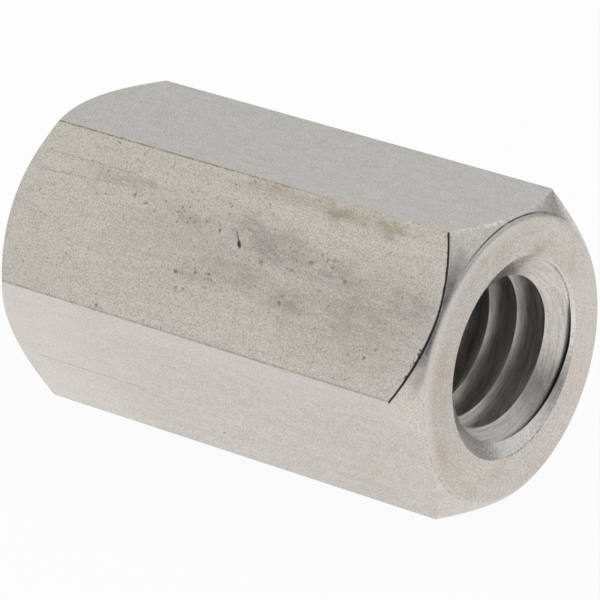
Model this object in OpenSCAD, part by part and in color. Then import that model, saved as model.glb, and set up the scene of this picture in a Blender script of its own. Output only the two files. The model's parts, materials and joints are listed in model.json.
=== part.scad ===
// Hexagonal coupling nut of stainless steel, cut from drawn hexagon bar and tapped right through.
// It lies on one flat: X runs along the thread, Z is up, and the origin is the middle of the thread's axis.

/* [Hexagon] */
// Width across the flats
across_flats = 12.55; // [10:0.05:20]
// Length from end face to end face
nut_length = 22.5; // [14:0.1:60]

/* [End chamfers] */
// Distance from a flat in to the rim of the end face
face_inset = 0.2; // [0.05:0.05:0.6]
// Slope of the turned chamfer, measured from the end face
chamfer_angle = 41; // [15:1:55]

/* [Thread] */
// Major diameter of the thread
thread_d = 7.94; // [5:0.01:9]
// Distance from one turn of the thread to the next
thread_pitch = 1.411; // [0.5:0.001:2]

/* [Countersinks] */
// Width of the countersink's rim outside the thread
countersink_rim = 0.4; // [0.1:0.01:0.5]
// Full angle of the countersink's cone
countersink_angle = 120; // [80:1:140]

/* [Hidden] */
$fn = 96;
// How far a cutting shape runs past the face that it cuts
overrun = 1;

// The end face is the circle inside the chamfer, and the turned blank is just wider than the corners
corner_r = across_flats / 2 / cos(30);
face_r = across_flats / 2 - face_inset;
blank_r = corner_r + overrun;
chamfer_depth = (blank_r - face_r) * tan(chamfer_angle);

// The hole is drilled to the thread's minor diameter, five eighths of a sharp thread's height inside the major
sharp_height = thread_pitch * cos(30);
bore_r = thread_d / 2 - sharp_height * 5 / 8;
mouth_r = thread_d / 2 + countersink_rim;
countersink_depth = (mouth_r - bore_r) / tan(countersink_angle / 2);

// Turns a shape made along Z so that it lies along X
module along_x() {
    rotate([0, 90, 0]) children();
}

// Hexagon bar with a flat underneath, longer than the nut
module hexagon_bar() {
    along_x() rotate(30)
        cylinder(r = corner_r, h = nut_length + 2 * overrun, center = true, $fn = 6);
}

// Round blank with the two flat faces and the two chamfers that the lathe leaves on the bar
module turned_ends() {
    half = nut_length / 2;
    along_x() rotate_extrude()
        polygon([
            [0, -half],
            [face_r, -half],
            [blank_r, chamfer_depth - half],
            [blank_r, half - chamfer_depth],
            [face_r, half],
            [0, half],
        ]);
}

// Tapping hole from end to end, with a cone that opens at each face
module tapped_hole() {
    along_x() {
        cylinder(r = bore_r, h = nut_length + 2 * overrun, center = true);
        for (end = [0, 1])
            mirror([0, 0, end])
                translate([0, 0, nut_length / 2 - countersink_depth])
                    cylinder(r1 = bore_r, h = countersink_depth + overrun,
                             r2 = mouth_r + overrun * tan(countersink_angle / 2));
    }
}

// The whole nut, one piece of bar
module coupling_nut() {
    color([0.73, 0.71, 0.68])
        difference() {
            intersection() {
                hexagon_bar();
                turned_ends();
            }
            tapped_hole();
        }
}

coupling_nut();
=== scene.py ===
"""A stainless steel coupling nut lying on one flat, seen from the end that its thread shows in."""
import json
import math

import bpy
from mathutils import Matrix, Vector


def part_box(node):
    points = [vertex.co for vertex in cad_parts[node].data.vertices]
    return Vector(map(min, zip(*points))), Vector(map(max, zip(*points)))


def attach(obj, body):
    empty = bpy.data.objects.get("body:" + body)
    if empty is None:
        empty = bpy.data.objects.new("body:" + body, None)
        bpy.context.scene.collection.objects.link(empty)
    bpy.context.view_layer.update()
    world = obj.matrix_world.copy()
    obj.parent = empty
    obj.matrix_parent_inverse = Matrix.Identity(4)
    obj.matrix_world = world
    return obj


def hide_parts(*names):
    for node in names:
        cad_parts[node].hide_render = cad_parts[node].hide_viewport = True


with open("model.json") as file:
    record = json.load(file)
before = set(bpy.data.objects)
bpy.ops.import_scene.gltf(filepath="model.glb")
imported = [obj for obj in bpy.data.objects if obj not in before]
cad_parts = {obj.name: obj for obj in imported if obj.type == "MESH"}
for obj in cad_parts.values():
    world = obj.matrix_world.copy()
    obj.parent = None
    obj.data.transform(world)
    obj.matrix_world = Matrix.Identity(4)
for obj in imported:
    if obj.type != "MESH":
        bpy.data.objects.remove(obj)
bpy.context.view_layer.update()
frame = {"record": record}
MM = 0.001

# The bar that the nut is made from: drawn stainless hexagon, cut to length and faced on a lathe,
# which also turns a chamfer on both ends, so that each flat finishes in an arc. A tumbler has taken
# the sharpness off its edges.
low, high = (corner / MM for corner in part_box("coupling_nut"))
nut_length = high.x - low.x
across_flats = high.z - low.z
face_inset = 0.2
far_face_inset = 0.31
chamfer_angle = math.radians(41)
edge_break = 0.1
rim_break = 0.4
edge_support = 0.04
flat_steps = 48
edge_steps = 3
merge_within = 0.0005
flat_to_corner = math.pi / 6


class Wire:
    """A socket of a node tree. Sums and products of wires add Math nodes to that tree."""

    def __init__(self, tree, socket):
        self.tree = tree
        self.socket = socket

    def node(self, kind, settings, inputs, result=0):
        """Adds a node, makes its settings, then fills its sockets with values, wires or lists of wires."""
        made = self.tree.nodes.new(kind)
        for name, value in settings.items():
            setattr(made, name, value)
        for key, value in inputs.items():
            for one in value if isinstance(value, list) else [value]:
                if isinstance(one, Wire):
                    self.tree.links.new(one.socket, made.inputs[key])
                else:
                    made.inputs[key].default_value = one
        return Wire(self.tree, made.outputs[result])

    def math(self, operation, *values):
        return self.node("ShaderNodeMath", {"operation": operation}, dict(enumerate(values)))

    def vectors(self, operation, *values):
        return self.node("ShaderNodeVectorMath", {"operation": operation}, dict(enumerate(values)))

    def joined(self, *numbers):
        """A vector of two or three numbers."""
        return self.node("ShaderNodeCombineXYZ", {}, dict(enumerate(numbers)))

    def parts(self, vector):
        """The three numbers of a vector."""
        split = self.node("ShaderNodeSeparateXYZ", {}, {0: vector})
        return [Wire(self.tree, socket) for socket in split.socket.node.outputs]

    def __add__(self, other):
        return self.math("ADD", self, other)

    def __radd__(self, other):
        return self.math("ADD", other, self)

    def __sub__(self, other):
        return self.math("SUBTRACT", self, other)

    def __rsub__(self, other):
        return self.math("SUBTRACT", other, self)

    def __mul__(self, other):
        return self.math("MULTIPLY", self, other)

    def __rmul__(self, other):
        return self.math("MULTIPLY", other, self)

    def __truediv__(self, other):
        return self.math("DIVIDE", self, other)

    def __rtruediv__(self, other):
        return self.math("DIVIDE", other, self)


def shape_tree(name, sizes):
    """A geometry tree with a named number for each size: the tree, its inputs as wires, their identifiers."""
    tree = bpy.data.node_groups.new(name, "GeometryNodeTree")
    sockets = tree.interface
    sockets.new_socket("Geometry", in_out="OUTPUT", socket_type="NodeSocketGeometry")
    sockets.new_socket("Geometry", in_out="INPUT", socket_type="NodeSocketGeometry")
    keys = {}
    for size in sizes:
        socket = sockets.new_socket(size, in_out="INPUT", socket_type="NodeSocketFloat")
        keys[size] = socket.identifier
    given = tree.nodes.new("NodeGroupInput")
    wires = {socket.name: Wire(tree, socket) for socket in given.outputs if socket.name}
    return tree, wires, keys


def finish_tree(shape, material):
    """Ends a geometry tree with its instances made real and its material set."""
    real = shape.node("GeometryNodeRealizeInstances", {}, {"Geometry": shape})
    real = real.node("GeometryNodeSetMaterial", {}, {"Geometry": real, "Material": material})
    end = shape.tree.nodes.new("NodeGroupOutput")
    shape.tree.links.new(real.socket, end.inputs["Geometry"])


def add_shape(piece, tree, keys, sizes):
    """Puts a geometry tree on a piece as a modifier, with its sizes set."""
    modifier = piece.modifiers.new(tree.name, "NODES")
    modifier.node_group = tree
    for name, value in sizes.items():
        modifier[keys[name]] = value


bar_sizes = {"Across Flats": across_flats, "Length": nut_length, "Face Inset": face_inset,
             "Far Face Inset": far_face_inset, "Chamfer Angle": chamfer_angle, "Edge Break": edge_break,
             "Rim Break": rim_break}
bar_tree, bar, bar_keys = shape_tree("turned_bar", bar_sizes)

# The bar starts as a sheet, with columns that go round it and rows along it. From the middle to each end
# there is one row on the flat, then the arc's rounding, the rim's rounding, one row on the face and the pole.
columns = 6 * flat_steps
arc_row = 1
rim_row = arc_row + edge_steps + 1
face_row = rim_row + edge_steps + 1
pole_row = face_row + 1
half_rows = pole_row + 1
sheet = bar["Length"].node(
    "GeometryNodeMeshGrid", {},
    {"Size X": float(columns), "Size Y": 2.0 * half_rows - 1,
     "Vertices X": columns + 1, "Vertices Y": 2 * half_rows})
column, row, _ = sheet.parts(sheet.node("GeometryNodeInputPosition", {}, {}))
flat_turns = (column + columns / 2) / flat_steps
flat_number = sheet.math("FLOOR", flat_turns)
sweep = sheet.math("SINE", ((flat_turns - flat_number) * 2 - 1) * (math.pi / 2)) * flat_to_corner
angle = flat_number * (2 * flat_to_corner) + sweep

# Each column's radius: the flat's, or the rounded corner's close to an edge.
half_bar = bar["Across Flats"] / 2
flat_radius = half_bar / sheet.math("COSINE", sweep)
corner_turn = flat_to_corner - sheet.math("ABSOLUTE", sweep)
corner_middle = (half_bar - bar["Edge Break"]) / math.cos(flat_to_corner)
corner_reach = corner_middle * sheet.math("SINE", corner_turn)
corner_square = bar["Edge Break"] * bar["Edge Break"] - corner_reach * corner_reach
corner_rise = sheet.math("SQRT", sheet.math("MAXIMUM", corner_square, 0.0))
corner_radius = corner_middle * sheet.math("COSINE", corner_turn) + corner_rise
on_corner = sheet.math("LESS_THAN", corner_reach, bar["Edge Break"] / 2)
bar_radius = flat_radius + (corner_radius - flat_radius) * on_corner

step = sheet.math("ABSOLUTE", row) - 0.5


def rounded_share(first_row):
    """How much of a rounding is done at each row: nought up to its first row, one from its last."""
    share = (step - first_row) / edge_steps
    return sheet.math("MINIMUM", sheet.math("MAXIMUM", share, 0.0), 1.0)


chamfer_turn = math.pi / 2 - bar["Chamfer Angle"]
edge_angle = rounded_share(arc_row) * chamfer_turn + rounded_share(rim_row) * bar["Chamfer Angle"]
on_rim_rows = sheet.math("GREATER_THAN", step, rim_row - 0.5)
on_flat_row = sheet.math("LESS_THAN", step, arc_row - 0.5)
on_face_row = sheet.math("GREATER_THAN", step, face_row - 0.5)
before_pole = sheet.math("LESS_THAN", step, pole_row - 0.5)
at_far_end = sheet.math("LESS_THAN", row, 0.0)
half_length = bar["Length"] / 2
face_radius = half_bar - bar["Face Inset"] - (bar["Far Face Inset"] - bar["Face Inset"]) * at_far_end
chamfer_slope = sheet.math("TANGENT", bar["Chamfer Angle"])
arc_place = half_length - (bar_radius - face_radius) * chamfer_slope
arc_place = arc_place - bar["Edge Break"] * sheet.math("TANGENT", chamfer_turn / 2)
arc_radius = bar_radius - bar["Edge Break"]
rim_place = half_length - bar["Rim Break"]
rim_radius = face_radius - bar["Rim Break"] * sheet.math("TANGENT", bar["Chamfer Angle"] / 2)
rounding = bar["Edge Break"] + (bar["Rim Break"] - bar["Edge Break"]) * on_rim_rows
along = arc_place + (rim_place - arc_place) * on_rim_rows + rounding * sheet.math("SINE", edge_angle)
out = arc_radius + (rim_radius - arc_radius) * on_rim_rows + rounding * sheet.math("COSINE", edge_angle)
along = (along - on_flat_row * edge_support) * sheet.math("SIGN", row)
out = (out - on_face_row * edge_support) * before_pole
place = sheet.joined(out * sheet.math("COSINE", angle), out * sheet.math("SINE", angle), along)
turned_bar = sheet.node("GeometryNodeSetPosition", {}, {"Geometry": sheet, "Position": place})
turned_bar = turned_bar.node("GeometryNodeMergeByDistance", {},
                             {"Geometry": turned_bar, "Distance": merge_within})
nut_steel = bpy.data.materials.new("drawn_stainless")
finish_tree(turned_bar, nut_steel)

# The tapped hole: drilled through, countersunk at both ends and cut with a coarse right-hand thread.
# The drill ran a little off the middle. The thread's first turn is pushed towards the mouth, so that
# it steps out of the countersink and leaves a thin dark slit beside a lip.
hole_mount = next(m for m in frame["record"]["mounts"] if m["name"] == "thread_right")
drill_oversize = 0.11
minor_radius = hole_mount["dims"]["r_mm"] + drill_oversize
inch = 25.4
threads_per_inch = 18
root_radius = 4.16
crest_flat = 0.15
flank_angle = math.radians(30)
thread_depth_at_bottom = 0.585
mouth_radius = 4.37
countersink_angle = math.radians(106)
burr = 0.48
lead_lift = 0.15
lead_reach = 0.045
lead_start = 1.7
lead_end = 1.05
drill_aside = 0.08
drill_up = 0.06
points_per_turn = 240
turns = 18
turned_segments = 360
overrun = 1.0
cutter_overlap = 0.03
half_turn = (math.pi, 0.0, 0.0)
smooth_below = math.radians(18)

hole_sizes = {"Length": nut_length, "Minor Radius": minor_radius, "Root Radius": root_radius,
              "Crest Flat": crest_flat, "Pitch": inch / threads_per_inch, "Start": thread_depth_at_bottom,
              "Mouth Radius": mouth_radius, "Countersink Angle": countersink_angle, "Burr": burr,
              "Lead Lift": lead_lift, "Lead Reach": lead_reach, "Aside": drill_aside, "Up": drill_up}
hole_tree, hole, hole_keys = shape_tree("tapped_hole", hole_sizes)


def moved(shape, along=0.0, aside=0.0, up=0.0, turned=(0.0, 0.0, 0.0)):
    """A shape turned, then moved along the nut's length, aside and up as the nut will lie."""
    place = shape.joined(up * -1, aside, along)
    return shape.node("GeometryNodeTransform", {},
                      {"Geometry": shape, "Translation": place, "Rotation": turned})


def labelled(shape, name, value):
    """A shape whose points carry a named number."""
    return shape.node("GeometryNodeStoreNamedAttribute", {"data_type": "FLOAT", "domain": "POINT"},
                      {"Geometry": shape, "Name": name, "Value": value})


def thread_cutter(outer_radius, outer_half, inner_radius, inner_half):
    """A four-sided tooth swept along the thread's right-hand helix, as a closed shape."""
    spiral = outer_radius.node(
        "GeometryNodeCurveSpiral", {},
        {"Resolution": points_per_turn, "Rotations": float(turns), "Reverse": True,
         "Start Radius": outer_radius, "End Radius": outer_radius, "Height": hole["Pitch"] * turns})
    spiral = spiral.node("GeometryNodeSetCurveNormal", {"mode": "Z_UP"}, {"Curve": spiral})
    gone = spiral.node("GeometryNodeSplineParameter", {}, {})
    spiral = labelled(spiral, "turn", gone * turns)
    inward = inner_radius - outer_radius
    tooth = spiral.node(
        "GeometryNodeCurvePrimitiveQuadrilateral", {"mode": "POINTS"},
        {"Point 1": spiral.joined(0.0, outer_half * -1), "Point 2": spiral.joined(0.0, outer_half),
         "Point 3": spiral.joined(inward, inner_half), "Point 4": spiral.joined(inward, inner_half * -1)})
    reach, height, _ = tooth.parts(tooth.node("GeometryNodeInputPosition", {}, {}))
    tooth = labelled(tooth, "near_side", height.math("LESS_THAN", height, 0.0))
    tooth = labelled(tooth, "root_side", reach.math("GREATER_THAN", reach, inward / 2))
    cutter = spiral.node("GeometryNodeCurveToMesh", {},
                         {"Curve": spiral, "Profile Curve": tooth, "Fill Caps": True})
    turn, near_side, root_side = (
        cutter.node("GeometryNodeInputNamedAttribute", {"data_type": "FLOAT"}, {"Name": name})
        for name in ("turn", "near_side", "root_side"))
    first_turn = cutter.node("ShaderNodeMapRange", {"interpolation_type": "SMOOTHSTEP"},
                             {"Value": turn, "From Min": turns - lead_start, "From Max": turns - lead_end})
    lift = (1 - near_side) * root_side * hole["Lead Lift"] - near_side * (1 - root_side) * hole["Burr"]
    at_x, at_y, _ = cutter.parts(cutter.node("GeometryNodeInputPosition", {}, {}))
    from_axis = cutter.math("SQRT", at_x * at_x + at_y * at_y)
    widen = root_side * first_turn * hole["Lead Reach"] / from_axis
    pushed = cutter.joined(at_x * widen, at_y * widen, lift * first_turn)
    cutter = cutter.node("GeometryNodeSetPosition", {}, {"Geometry": cutter, "Offset": pushed})
    return moved(cutter, along=hole["Length"] / 2 - hole["Start"] - hole["Pitch"] * (turns - 1))


drill = hole["Length"].node(
    "GeometryNodeMeshCylinder", {},
    {"Vertices": turned_segments, "Radius": hole["Minor Radius"], "Depth": hole["Length"] + 2 * overrun})
sink_slope = hole["Length"].math("TANGENT", hole["Countersink Angle"] / 2)
sink_depth = hole["Mouth Radius"] / sink_slope
countersink = sink_depth.node(
    "GeometryNodeMeshCone", {},
    {"Vertices": turned_segments, "Radius Bottom": 0.0, "Depth": sink_depth + overrun,
     "Radius Top": hole["Mouth Radius"] + sink_slope * overrun})
near_sink = moved(countersink, along=hole["Length"] / 2 - sink_depth)
far_sink = moved(near_sink, turned=half_turn)
thread_height = hole["Root Radius"] - hole["Minor Radius"]
gap_half = (hole["Pitch"] - hole["Crest Flat"]) / 2
flank_slope = math.tan(flank_angle)
tap = thread_cutter(hole["Root Radius"], gap_half - thread_height * flank_slope,
                    hole["Minor Radius"] - cutter_overlap, gap_half + cutter_overlap * flank_slope)
cutters = [moved(one, aside=hole["Aside"], up=hole["Up"]) for one in (drill, near_sink, far_sink, tap)]
tapped = tap.node("GeometryNodeMeshBoolean", {"operation": "DIFFERENCE", "solver": "MANIFOLD"},
                  {"Mesh 1": hole["Geometry"], "Mesh 2": cutters})
bent = tapped.node("GeometryNodeInputMeshEdgeAngle", {}, {})
soft = tapped.node("FunctionNodeCompare", {"operation": "LESS_THAN"}, {"A": bent, "B": smooth_below})
tapped = tapped.node("GeometryNodeSetShadeSmooth", {"domain": "EDGE"},
                     {"Geometry": tapped, "Shade Smooth": soft})
tapped = tapped.node("GeometryNodeSetShadeSmooth", {"domain": "FACE"}, {"Geometry": tapped})
lying = tapped.node("GeometryNodeTransform", {},
                    {"Geometry": tapped, "Rotation": (0.0, math.pi / 2, 0.0), "Scale": (MM, MM, MM)})
finish_tree(lying, nut_steel)

blank = bpy.data.objects.new("nut_blank", bpy.data.meshes.new("nut_blank"))
bpy.context.scene.collection.objects.link(blank)
add_shape(blank, bar_tree, bar_keys, bar_sizes)
add_shape(blank, hole_tree, hole_keys, hole_sizes)
depsgraph = bpy.context.evaluated_depsgraph_get()
nut_mesh = bpy.data.meshes.new_from_object(blank.evaluated_get(depsgraph), depsgraph=depsgraph)
bpy.data.objects.remove(blank)
nut = bpy.data.objects.new("threaded_nut", nut_mesh)
bpy.context.scene.collection.objects.link(nut)
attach(nut, "root")
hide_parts("coupling_nut")

# The steel's finish: tumbled to a matt, slightly warm grey with a sandy grain. Storage and handling have
# left yellow stains, grey smudges and small pits, and dirt sits in the cracks along the worn edges. Some dark
# lines and patches are painted shade, and the deep thread and the faces' far side are painted light.
steel_colour = (0.8, 0.762, 0.715, 1)
grit_grey = (0.54, 0.515, 0.475, 1)
pale_wear_and_light = (0.8, 0.775, 0.74, 1)
turned_grey = (0.95, 0.94, 0.925, 1)
bright_steel_and_light = (0.93, 0.9, 0.855, 1)
wash_warm = (1.0, 0.99, 0.955, 1)
stain_yellow = (0.99, 0.98, 0.93, 1)
stain_olive = (0.67, 0.65, 0.57, 1)
stain_pink = (0.92, 0.85, 0.8, 1)
lower_dull = (0.945, 0.93, 0.94, 1)
smudge_and_shade_grey = (0.6, 0.6, 0.595, 1)
dirt_and_shade_black = (0.03, 0.028, 0.024, 1)
dirt_and_shade_brown = (0.2, 0.17, 0.13, 1)
dirt_and_shade_grey = (0.2, 0.2, 0.21, 1)
matt_roughness = 0.42
grain_strength = 0.3
grain_depth = 0.02
nut_steel.use_nodes = True
steel_tree = nut_steel.node_tree
shader = steel_tree.nodes["Principled BSDF"]
shader.inputs["Metallic"].default_value = 1.0
seat = Wire(steel_tree, steel_tree.nodes.new("ShaderNodeTexCoord").outputs["Object"])
spot = seat.node("ShaderNodeVectorMath", {"operation": "SCALE"}, {0: seat, "Scale": 1 / MM})
x, y, z = spot.parts(spot)


def rise(value, start, full):
    """Nought at the start, one at the full value, eased between them."""
    return value.node("ShaderNodeMapRange", {"interpolation_type": "SMOOTHSTEP"},
                      {"Value": value, "From Min": start, "From Max": full})


def band(value, start, full, fade, end):
    """One from the full value to where it fades, nought before the start and past the end."""
    return rise(value, start, full) * rise(value, end, fade)


def line(offset, half_width, core):
    """One where an offset either way is within the core, nought past the half width."""
    return rise(offset.math("ABSOLUTE", offset), half_width, core)


def most(first, *others):
    """The largest of several wires."""
    for other in others:
        first = first.math("MAXIMUM", first, other)
    return first


def mottle(at, scale, detail=2.0, rough=0.5):
    """Cloudy noise about a half, with so many clouds to the millimetre."""
    return at.node("ShaderNodeTexNoise", {},
                   {"Vector": at, "Scale": scale, "Detail": detail, "Roughness": rough})


def wandering(at, scale, detail, rough, reach_along, reach_across):
    """A cloudy offset along and across, each up to half its reach either way."""
    cloud = at.node("ShaderNodeTexNoise", {},
                    {"Vector": at, "Scale": scale, "Detail": detail, "Roughness": rough}, result=1)
    return at.vectors("MULTIPLY_ADD", cloud, (reach_along, reach_across, 0.0),
                      (-reach_along / 2, -reach_across / 2, 0.0))


def tinted(colour, amount, tint, blend="MIX"):
    """A colour changed towards a tint by an amount that may vary."""
    return amount.node("ShaderNodeMix", {"data_type": "RGBA", "blend_type": blend},
                       {0: amount, 6: colour, 7: tint}, result=2)


def stained(colour, amount, tint):
    """A colour that shows through a tint, by an amount that may vary."""
    return tinted(colour, amount, tint, "MULTIPLY")


def blot(at, along, across, half_length, half_width, strength, core):
    """An oval mark: its strength inside its core, nought past its rim."""
    away = at.vectors("MULTIPLY_ADD", at, (1 / half_length, 1 / half_width, 0.0),
                      (-along / half_length, -across / half_width, 0.0))
    away = at.node("ShaderNodeVectorMath", {"operation": "LENGTH"}, {0: away}, result=1)
    return at.node("ShaderNodeMapRange", {"interpolation_type": "SMOOTHSTEP"},
                   {"Value": away, "From Min": 1.0, "From Max": core, "To Max": strength})


def blots(at, marks, core):
    """The strongest of several oval marks, each (along, across, half length, half width, strength)."""
    return most(*[blot(at, *mark, core) for mark in marks])


# Where a point lies on the nut, in millimetres: how far inside the flats and their edges, from the nearest
# end, from the chamfer, past the face's rim and from the hole's axis.
half_flats = across_flats / 2
slant = math.cos(flat_to_corner)
frontness = z * 0.5 - y * slant
lowness = z * -0.5 - y * slant
across = y * 0.5 + z * slant
low_across = z * slant - y * 0.5
from_top = z.math("ABSOLUTE", z)
from_front = z.math("ABSOLUTE", frontness)
from_back = z.math("ABSOLUTE", lowness)
widest = most(from_top, from_front, from_back)
narrowest = z.math("MINIMUM", from_top, z.math("MINIMUM", from_front, from_back))
flat_gap = half_flats - widest
edge_gap = half_flats - (from_top + from_front + from_back - widest - narrowest)
front_gap = half_flats - frontness
end_gap = nut_length / 2 - x.math("ABSOLUTE", x)
reach_out = x.math("SQRT", y * y + z * z)
past_rim = reach_out - (half_flats - face_inset)
far_inset = (far_face_inset - face_inset) * rise(x, 1.0, -1.0)
chamfer_gap = end_gap - (past_rim + far_inset) * math.tan(chamfer_angle)
hole_y = y - drill_aside
hole_z = z - drill_up
from_hole = x.math("SQRT", hole_y * hole_y + hole_z * hole_z)
hole_cos = hole_y / from_hole
hole_sin = hole_z / from_hole
sink_gap = end_gap - (mouth_radius - from_hole) / math.tan(countersink_angle / 2)
near_end = rise(x, 0.0, 1.0)


def on_flat(distance):
    """One where a distance from the axis reaches a flat."""
    return rise(distance, half_flats - 0.08, half_flats - 0.03)


def toward(degrees):
    """How far a point of the hole lies in a direction: 0 is +Y and 90 is up."""
    turn = math.radians(degrees)
    return hole_cos * math.cos(turn) + hole_sin * math.sin(turn)


on_front = on_flat(frontness)
on_top = on_flat(z)
on_lower = on_flat(lowness)
on_face = rise(end_gap, 0.06, 0.01)
in_hole = rise(from_hole, mouth_radius + 0.03, mouth_radius - 0.02)
in_thread = in_hole * rise(sink_gap, 0.01, 0.06)
in_sink = in_hole * (1 - in_thread)
on_chamfer = rise(chamfer_gap, 0.05, 0.02) * rise(flat_gap, 0.03, 0.08) * (1 - on_face) * (1 - in_hole)
on_turned = most(on_face, on_chamfer)
on_flats = 1 - most(on_turned, in_hole)

# The sandy grain: fine grey grit on a paler ground, thicker in some places, with faint lines along the bar
# where it was drawn.
fine = mottle(spot, 15.0, 2.0, 0.8)
coarse = mottle(spot, 2.2, 3.0, 0.6)
nicked = mottle(spot, 2.6, 3.0, 0.8)
broken = mottle(spot, 1.6, 3.0)
scuffed = mottle(spot, 8.0, 4.0, 0.75)
clouds = mottle(spot, 0.45, 3.0)
drawn = mottle(spot.vectors("MULTIPLY", spot, (0.5, 3.5, 3.5)), 1.0, 2.0)
uneven = coarse - 0.5
contrast = 2.1 + on_top * 0.6 - on_lower * 0.4 - on_turned * 0.2 - in_hole * 1.1
grit = (fine - 0.485) * contrast + uneven * 0.4 + (drawn - 0.5) * on_flats * 0.25
grit = grit + on_top * (0.03 + rise(x, 0.0, 9.0) * 0.03)
colour = tinted(steel_colour, rise(grit, 0.26, -0.26), grit_grey)
colour = stained(colour, on_turned, turned_grey)

# Stains on the front flat, drawn out along the bar: a yellow band under the upper edge with olive patches in
# it, a grey smudge about the pit that thins towards the near end, and yellow and olive spots below it.
flat_spot = x.joined(x, across)
wander = wandering(spot, 1.1, 4.0, 0.6, 2.0, 1.0)
stain_spot = spot.vectors("ADD", flat_spot, wander)
streaks = mottle(spot.vectors("MULTIPLY", flat_spot, (0.8, 3.0, 0.0)), 1.0, 4.0, 0.65)
yellow_stains = [(-9.2, 3.0, 1.5, 0.9, 0.8), (-1.8, 1.2, 2.0, 0.7, 0.7), (0.8, -0.6, 2.4, 1.0, 0.9),
                 (3.8, -1.1, 2.2, 1.2, 0.9)]
olive_stains = [(5.0, 3.1, 1.8, 0.6, 1.0), (7.6, 3.1, 1.7, 0.6, 0.9), (2.0, 3.3, 3.4, 0.5, 0.6),
                (3.8, -1.0, 1.8, 1.1, 0.7), (1.4, -0.5, 2.8, 0.9, 0.45), (-1.9, 1.3, 2.4, 0.6, 0.35),
                (-0.9, -0.9, 1.6, 0.5, 0.4)]
pink_stains = [(4.2, 3.4, 0.8, 0.4, 0.7), (6.1, 3.2, 0.9, 0.6, 0.8), (1.8, 3.4, 0.7, 0.3, 0.6)]
grey_smudges = [(2.6, 1.0, 3.4, 1.4, 1.0), (1.2, 1.5, 2.2, 1.0, 0.9), (5.8, 0.7, 3.8, 1.2, 0.8),
                (9.6, 0.2, 2.4, 1.6, 0.8), (7.6, -0.6, 6.5, 3.4, 0.62), (-0.5, 0.2, 7.0, 3.4, 0.36),
                (-5.6, 2.0, 3.4, 0.5, 0.5)]


def patchy(mask):
    """A soft mark, uneven as a dried film is and streaked along the bar."""
    return mask * (0.45 + rise(streaks + uneven * 0.5, 0.36, 0.6) * 0.55)


colour = stained(colour, on_front, wash_warm)
upper_band = rise(across + (streaks - 0.5) * 1.2, 2.5, 3.3)
front_stains = [(most(upper_band, blots(stain_spot, yellow_stains, 0.0)), stain_yellow),
                (blots(stain_spot, olive_stains, 0.0), stain_olive),
                (blots(stain_spot, pink_stains, 0.0), stain_pink),
                (blots(stain_spot, grey_smudges, 0.0), smudge_and_shade_grey)]
for mask, tint in front_stains:
    colour = stained(colour, on_front * patchy(mask), tint)
other_flats = on_flats * (1 - on_front) * (1 - on_top * 0.8) * (1 - on_lower * 0.5)
colour = stained(colour, rise(clouds, 0.5, 0.66) * other_flats, stain_yellow)

# Pits and specks, each a few hundredths of a millimetre to half a millimetre long, and filled with dirt. The
# largest has a thin tail, and fine scratches run along the bar near the far end.
pits = [(-5.1, 1.52, 0.07, 0.22, 0.75), (-3.7, 3.1, 0.06, 0.28, 0.5), (-6.75, 3.42, 0.14, 0.07, 0.7)]
specks = [(-4.5, 2.2, 0.08, 0.5), (-4.4, 1.3, 0.09, 0.6), (-2.55, 1.55, 0.09, 0.8), (-2.6, 0.9, 0.08, 0.6),
          (-2.1, 1.0, 0.08, 0.6), (-0.4, 1.05, 0.12, 0.8), (-0.2, 1.85, 0.1, 0.5), (-1.6, 0.4, 0.08, 0.5),
          (-0.4, 3.1, 0.08, 0.6), (-1.8, -1.1, 0.14, 0.8), (-0.85, -0.9, 0.1, 0.7), (-0.2, -0.8, 0.12, 0.75),
          (3.6, -1.1, 0.18, 0.65), (2.1, 0.3, 0.18, 0.5), (5.5, 1.2, 0.12, 0.45), (6.3, 0.5, 0.14, 0.45),
          (-5.05, -3.4, 0.12, 0.8), (8.4, -2.2, 0.12, 0.75), (8.8, -1.8, 0.08, 0.5)]
pits += [(place, height, size, size, strength) for place, height, size, strength in specks]
pit_spot = spot.vectors("ADD", flat_spot, wandering(spot, 5.0, 2.0, 0.5, 0.2, 0.2))
pit_turn = math.radians(56.3)
pit_x = x - 0.4
pit_y = across - 1.28
pit_along = pit_x * math.cos(pit_turn) - pit_y * math.sin(pit_turn)
pit_aside = pit_x * math.sin(pit_turn) + pit_y * math.cos(pit_turn) + (nicked - 0.5) * 0.1
pit_tail = line(pit_aside, 0.07, 0.02) * band(pit_along, -0.05, 0.1, 0.6, 0.75) * (0.45 + pit_along * 0.5)
pit = most(pit_tail, blot(x.joined(pit_along, pit_aside), 0.63, 0.0, 0.27, 0.12, 1.0, 0.4))
loose_specks = rise(mottle(spot, 6.5, 1.0), 0.68, 0.8) * on_flats * (0.45 - on_top * 0.3 - on_lower * 0.2)
pitted = most(on_front * most(pit, blots(pit_spot, pits, 0.3) * 0.8), loose_specks)
colour = tinted(colour, pitted * 0.92, dirt_and_shade_black)
trails = [(-2.6, 1.3, 3.2, 0.5, 1.0), (-0.4, -0.9, 2.4, 0.4, 1.0), (3.6, -1.0, 0.9, 0.7, 0.8),
          (4.0, 0.8, 3.6, 1.0, 0.8)]
trail_specks = rise(mottle(spot, 4.5, 2.0, 0.7) + blots(flat_spot, trails, 0.2) * 0.1, 0.66, 0.76)
straight_scratch = line(across - 2.33 + uneven * 0.12, 0.05, 0.02)
slanted_scratch = line(across - 2.19 - x * 0.074 + uneven * 0.12, 0.05, 0.02)
scratches = most(straight_scratch, slanted_scratch) * band(x, -10.6, -9.4, -5.8, -4.8)
trail_specks = most(trail_specks * 0.65, scratches * rise(nicked, 0.35, 0.55) * 0.28)
colour = tinted(colour, trail_specks * on_front, dirt_and_shade_brown)

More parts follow.
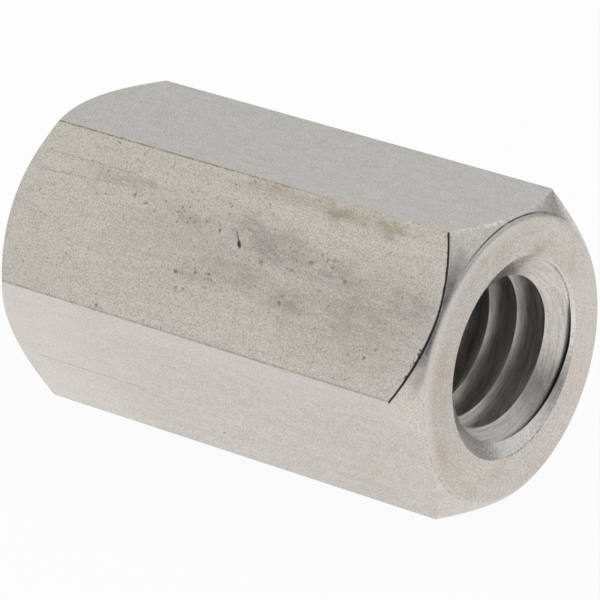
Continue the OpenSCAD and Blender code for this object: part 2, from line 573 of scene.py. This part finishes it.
# The lower flat has a long scratch, a few dull specks and a paler band under the front edge, and the top flat
# has pale flecks.
low_specks = [(-0.3, -2.3, 0.14, 0.08, 0.7), (0.1, -2.5, 0.1, 0.08, 0.6), (-4.2, -1.0, 0.3, 0.05, 0.4)]
low_scratch = line(low_across + 0.92 + uneven * 0.1, 0.05, 0.01) * band(x, -10.2, -9.6, -4.6, -3.8)
low_scratch = low_scratch * rise(nicked, 0.35, 0.5) * 0.4
low_marks = most(low_scratch, blots(x.joined(x, low_across), low_specks, 0.2))
# The lower flat is paler towards its front edge and towards the far end.
lower_paler = most(rise(low_across, 1.2, 3.4) * 0.25, rise(x, 0.0, -9.0) * 0.35)
flecks = rise(mottle(spot, 7.5, 1.0), 0.64, 0.74) * on_top
colour = tinted(colour, on_lower * lower_paler, pale_wear_and_light)
colour = stained(colour, on_lower * rise(x, -9.0, 9.0), lower_dull)
colour = tinted(colour, low_marks * on_lower, dirt_and_shade_brown)
colour = tinted(colour, flecks * 0.7, pale_wear_and_light)

# Dirt and painted shade along the edges: a black crack where the front flat meets the near chamfer, partly
# dirt and partly painted shade, a dark strip on the chamfer beside it, partly smudge and partly painted
# shade, and thin brown lines on the flat's own two edges, the upper one partly painted shade. The top flat's
# near edge is chipped bright.
crack_low = band(across, -3.4, -2.0, -1.0, 0.6)
crack_width = 0.065 + rise(nicked, 0.5, 0.7) * (0.08 + crack_low * 0.12) + crack_low * 0.04
# The crack's black is partly dirt and partly painted shade of a burr's step; it also covers the rounding's
# highlight.
crack_shade_and_dirt = rise(chamfer_gap / crack_width, 1.0, 0.4) * rise(flat_gap, 0.06, 0.03) * on_front * near_end
crack_shade_and_dirt = most(crack_shade_and_dirt, on_front * blot(pit_spot, 10.9, -1.45, 0.22, 0.14, 0.9, 0.3))
# Painted shade on the chamfer beside the crack, partly smudge, broken up by noise.
chamfer_smudge_and_shade = band(past_rim, 0.045, 0.125, 0.175, 0.675) * rise(front_gap, 0.775, 0.275) * (1 - on_front)
chamfer_smudge_and_shade = chamfer_smudge_and_shade * near_end * rise(fine * 0.8 + broken, 0.7, 1.0)
front_edge = rise(edge_gap, 0.07, 0.02) * rise(front_gap, 0.375, 0.175)
lower_line = front_edge * rise(across, -3.0, -3.3) * 0.5
# The upper line is partly dirt and partly painted shade that dims the highlight on the rounded edge.
upper_dirt_and_shade = front_edge * rise(across, 3.0, 3.3) * (0.85 - rise(x, 0.0, 5.0) * 0.5)
edge_dirt_and_shade = most(lower_line, upper_dirt_and_shade) * (0.4 + rise(mottle(spot, 6.0, 3.0, 0.7), 0.4, 0.6) * 0.6)
chips = line(chamfer_gap, 0.16, 0.06) * rise(half_flats - z, 0.155, 0.075) * near_end
chips = chips * (1 - on_front) * (1 - rise(edge_gap, 0.2, 0.1)) * rise(nicked, 0.5, 0.6)
colour = tinted(colour, crack_shade_and_dirt * 0.95, dirt_and_shade_black)
colour = tinted(colour, chamfer_smudge_and_shade * 0.7, dirt_and_shade_grey)
colour = tinted(colour, edge_dirt_and_shade, dirt_and_shade_brown)
colour = tinted(colour, chips * 0.8, bright_steel_and_light)

# Turning marks on the end faces and in the hole. Deep in the thread the steel is painted bright, as painted
# light standing in for light that reaches it from the far end; its first turn is dull, and the lip outside
# that turn is worn pale.
rings = mottle(x.joined(from_hole * 7, hole_cos * 2, hole_sin * 2 + x * 7), 1.3, 3.0, 0.6)
deep = rise(end_gap, 0.9, 1.5)
deep_thread = in_thread * deep
low_sink = in_sink * rise(toward(-41), 0.1, 0.7) * near_end
beyond_turn = most(rise(from_hole, root_radius - 0.08, root_radius + 0.02), rise(hole_sin, -0.5, -0.75))
worn_lip = low_sink * beyond_turn * (0.35 + rise(scuffed, 0.6, 0.4) * 0.5)
dull_turn = most((in_thread - deep_thread) * 0.22, low_sink * (1 - beyond_turn) * 0.3)
ring_weight = most(on_face * 0.3, in_hole + deep_thread * 0.5 - worn_lip)
# Painted light: the deep thread is made brighter to stand in for light that reaches it from the far end.
colour = tinted(colour, most(deep_thread * 0.65, worn_lip), bright_steel_and_light)
colour = stained(colour, dull_turn, smudge_and_shade_grey)
colour = stained(colour, rise(rings, 0.58, 0.3) * ring_weight * 0.6, smudge_and_shade_grey)

# Stains on the end faces, which are worn pale towards the front of the rim. A grey ramp is painted shade that
# darkens each face towards its top and near side, and painted light makes it paler on the far side of the
# hole.
face_spot = spot.vectors("ADD", x.joined(y, z), wander)
face_brown = [(1.6, 4.5, 1.2, 0.5, 0.9), (-0.9, -4.9, 1.2, 0.5, 0.7), (-2.7, -5.1, 1.0, 0.6, 0.5),
              (3.9, 3.2, 0.6, 0.8, 0.5)]
face_pink = [(-1.1, 5.2, 0.7, 0.6, 0.8), (-4.9, 1.0, 0.7, 1.8, 0.7), (-5.0, -2.6, 0.8, 1.4, 0.7),
             (4.4, -2.8, 0.8, 1.2, 0.5)]
# The grey ramp in this list is painted shade, darker towards each face's top and near side.
face_stains_and_shade = [(rise(clouds, 0.42, 0.6) * 0.25, stain_pink),
               (rise(z - y * 2, 0.0, 11.0) * 0.25, smudge_and_shade_grey),
               (patchy(blots(face_spot, face_brown, 0.1)) * 0.6, stain_olive),
               (blots(face_spot, face_pink, 0.1) * 0.6, stain_pink)]
for mask, tint in face_stains_and_shade:
    colour = stained(colour, on_face * mask, tint)
rim_pale = band(past_rim, -0.575, -0.075, 0.075, 0.175) * rise(end_gap, 0.2, 0.12)
colour = tinted(colour, rim_pale * rise(frontness, 1.0, 4.5) * 0.4, pale_wear_and_light)
# Painted light: each face is paler on the far side of the hole.
colour = tinted(colour, on_face * rise(y, 3.5, 5.5) * 0.2, pale_wear_and_light)

# Painted shade: a dark line along the top of the face's rim, a darker top to the countersink, a dark line
# where the slit runs out and darkened thread roots. Dirt: a brown line low on the rim's front, and smudges in
# the countersink and along its rim.
at_rim = rise(end_gap, 0.3, 0.2) * near_end
# Painted shade: a dark line along the top of the face's rim, where a burr shades it.
rim_shade_line = band(past_rim, 0.065, 0.105, 0.115, 0.165) * at_rim * rise(z, 4.5, 5.9) * (1 - on_flats)
rim_shade_line = rim_shade_line * rise(broken, 0.15, 0.5) * (1 - rise(y, 0.5, 2.5) * 0.5)
low_rim = band(past_rim, 0.005, 0.055, 0.075, 0.145) * at_rim * rise(y, -2.0, -4.0) * rise(z, 2.6, 1.4)
low_rim = low_rim * rise(fine * 0.6 + nicked, 0.65, 0.95)
# The countersink's darker top is painted shade; the lower and lip marks are smudges.
top_sink_shade = rise(toward(100), 0.88, 0.97)
low_smudge = rise(toward(248), 0.96, 0.99) * 0.6
lip_smudge = rise(toward(-41), 0.55, 0.85) * rise(from_hole, root_radius - 0.05, root_radius) * 0.15
sink_smudge_and_shade = most(top_sink_shade, low_smudge, lip_smudge) * in_sink * near_end
sink_smudge_and_shade = sink_smudge_and_shade * (0.15 + rise(scuffed, 0.44, 0.56) * 0.85)
scuffed_patches = rise(scuffed, 0.4, 0.55)
sink_rim = line(from_hole - mouth_radius, 0.06, 0.02) * rise(end_gap, 0.15, 0.1) * near_end * scuffed_patches
sink_rim = sink_rim * most(rise(toward(116), 0.88, 0.96), rise(toward(-75), 0.93, 0.98))
# Painted shade: the dark slit is drawn on where the thread runs out at its upper end.
slit_end_shade = line(from_hole - root_radius - lead_reach, 0.05, 0.02) * near_end * in_hole
slit_end_shade = slit_end_shade * rise(toward(35), 0.93, 0.98) * (0.4 + scuffed_patches * 0.6)
# Painted shade: the thread's roots are darkened, most in the first turn.
first_root_shade = rise(from_hole, root_radius - 0.1, root_radius + 0.02) * rise(end_gap, 1.2, 0.6) * 0.85
deep_root_shade = rise(from_hole, minor_radius + 0.05, root_radius) * deep * 0.1
colour = tinted(colour, rim_shade_line * 0.9, dirt_and_shade_black)
colour = tinted(colour, low_rim * 0.4, dirt_and_shade_brown)
colour = tinted(colour, sink_smudge_and_shade * 0.75, dirt_and_shade_grey)
colour = tinted(colour, sink_rim * 0.6, dirt_and_shade_brown)
colour = tinted(colour, slit_end_shade * 0.7, dirt_and_shade_brown)
colour = tinted(colour, in_thread * most(first_root_shade, deep_root_shade), dirt_and_shade_black)
roughness = matt_roughness + uneven * 0.25 + crack_shade_and_dirt * 0.3 - in_hole * 0.08 - on_chamfer * 0.14
relief = fine.node("ShaderNodeBump", {}, {"Strength": grain_strength, "Distance": grain_depth * MM,
                                          "Height": fine + rings * 0.4})
steel_tree.links.new(colour.socket, shader.inputs["Base Color"])
steel_tree.links.new(roughness.socket, shader.inputs["Roughness"])
steel_tree.links.new(relief.socket, shader.inputs["Normal"])

# The table: a plain white sheet that the nut lies on. The camera and the steel's reflections see it almost
# white, and it keeps the nut's faint shadow.
table_half = 1.0
table_z = low.z * MM
table_grey = (0.85, 0.85, 0.85, 1)
table_glow = 0.93
table_corners = [(side_x * table_half, side_y * table_half, table_z)
                 for side_x, side_y in ((-1, -1), (1, -1), (1, 1), (-1, 1))]
table_mesh = bpy.data.meshes.new("table")
table_mesh.from_pydata(table_corners, [], [(0, 1, 2, 3)])
table = bpy.data.objects.new("table", table_mesh)
bpy.context.scene.collection.objects.link(table)
table_white = bpy.data.materials.new("table_white")
table_white.use_nodes = True
table_mesh.materials.append(table_white)
table_tree = table_white.node_tree
table_tree.nodes.clear()
paths = table_tree.nodes.new("ShaderNodeLightPath")
ray_kinds = ("Is Camera Ray", "Is Glossy Ray", "Is Transmission Ray")
shown = most(*[Wire(table_tree, paths.outputs[kind]) for kind in ray_kinds])
matt = shown.node("ShaderNodeBsdfDiffuse", {}, {"Color": table_grey})
bright = shown.node("ShaderNodeEmission", {}, {"Color": (1, 1, 1, 1), "Strength": 1.0})
both = shown.node("ShaderNodeMixShader", {}, {0: shown * table_glow, 1: matt, 2: bright})
table_end = table_tree.nodes.new("ShaderNodeOutputMaterial")
table_tree.links.new(both.socket, table_end.inputs["Surface"])

# Soft studio light: a pale surround that is dim low down, where the room is, and dimmest beyond the near end,
# with one soft lamp overhead.
surround_low = 0.25
surround_high = 0.845
surround_white = (0.975, 0.988, 1.0, 1)
horizon_top = 0.36
near_end_dim = 0.65
back_dim = 0.16
lamp_height = 260
lamp_size = 220
lamp_watts = 0.045
world = bpy.data.worlds.new("surround")
bpy.context.scene.world = world
world.use_nodes = True
world_tree = world.node_tree
world_tree.nodes.clear()
outlook = Wire(world_tree, world_tree.nodes.new("ShaderNodeTexCoord").outputs["Generated"])
out_x, out_y, out_z = outlook.parts(outlook)
level = surround_low + rise(out_z, 0.0, horizon_top) * (surround_high - surround_low)
beyond_end = out_x * 0.93 - out_y * 0.33 + out_z * 0.15
level = level * (1 - rise(beyond_end, 0.7, 0.97) * near_end_dim) * (1 - rise(out_y, 0.1, 0.7) * back_dim)
surround = level.node("ShaderNodeBackground", {}, {"Color": surround_white, "Strength": level})
world_end = world_tree.nodes.new("ShaderNodeOutputWorld")
world_tree.links.new(surround.socket, world_end.inputs["Surface"])
lamp_data = bpy.data.lights.new("overhead", "AREA")
lamp_data.size = lamp_size * MM
lamp_data.energy = lamp_watts
lamp = bpy.data.objects.new("overhead", lamp_data)
lamp.location = (0.0, 0.0, lamp_height * MM)
bpy.context.scene.collection.objects.link(lamp)

# The camera: a long lens held a little above the table, turned a couple of degrees about its own axis. Its
# place and lens were fitted to the photo's outline and edges.
view_azimuth = math.radians(36.75)
view_elevation = math.radians(20.83)
view_roll = math.radians(2.05)
view_distance = 223.14
view_aim = Vector((0.205, 0.0, -0.236))
view_angle = math.radians(6.4955)
back = Vector((math.sin(view_azimuth) * math.cos(view_elevation),
               -math.cos(view_azimuth) * math.cos(view_elevation), math.sin(view_elevation)))
camera_data = bpy.data.cameras.new("camera")
camera_data.sensor_width = 36
camera_data.lens = camera_data.sensor_width / 2 / math.tan(view_angle / 2)
camera_data.clip_start = 0.01
camera_data.clip_end = 10
camera = bpy.data.objects.new("camera", camera_data)
camera.location = (view_aim + back * view_distance) * MM
camera.rotation_mode = "QUATERNION"
level_camera = (-back).to_track_quat("-Z", "Y")
camera.rotation_quaternion = level_camera @ Matrix.Rotation(view_roll, 3, "Z").to_quaternion()
bpy.context.scene.collection.objects.link(camera)
bpy.context.scene.camera = camera
bpy.context.scene.view_settings.view_transform = "Standard"
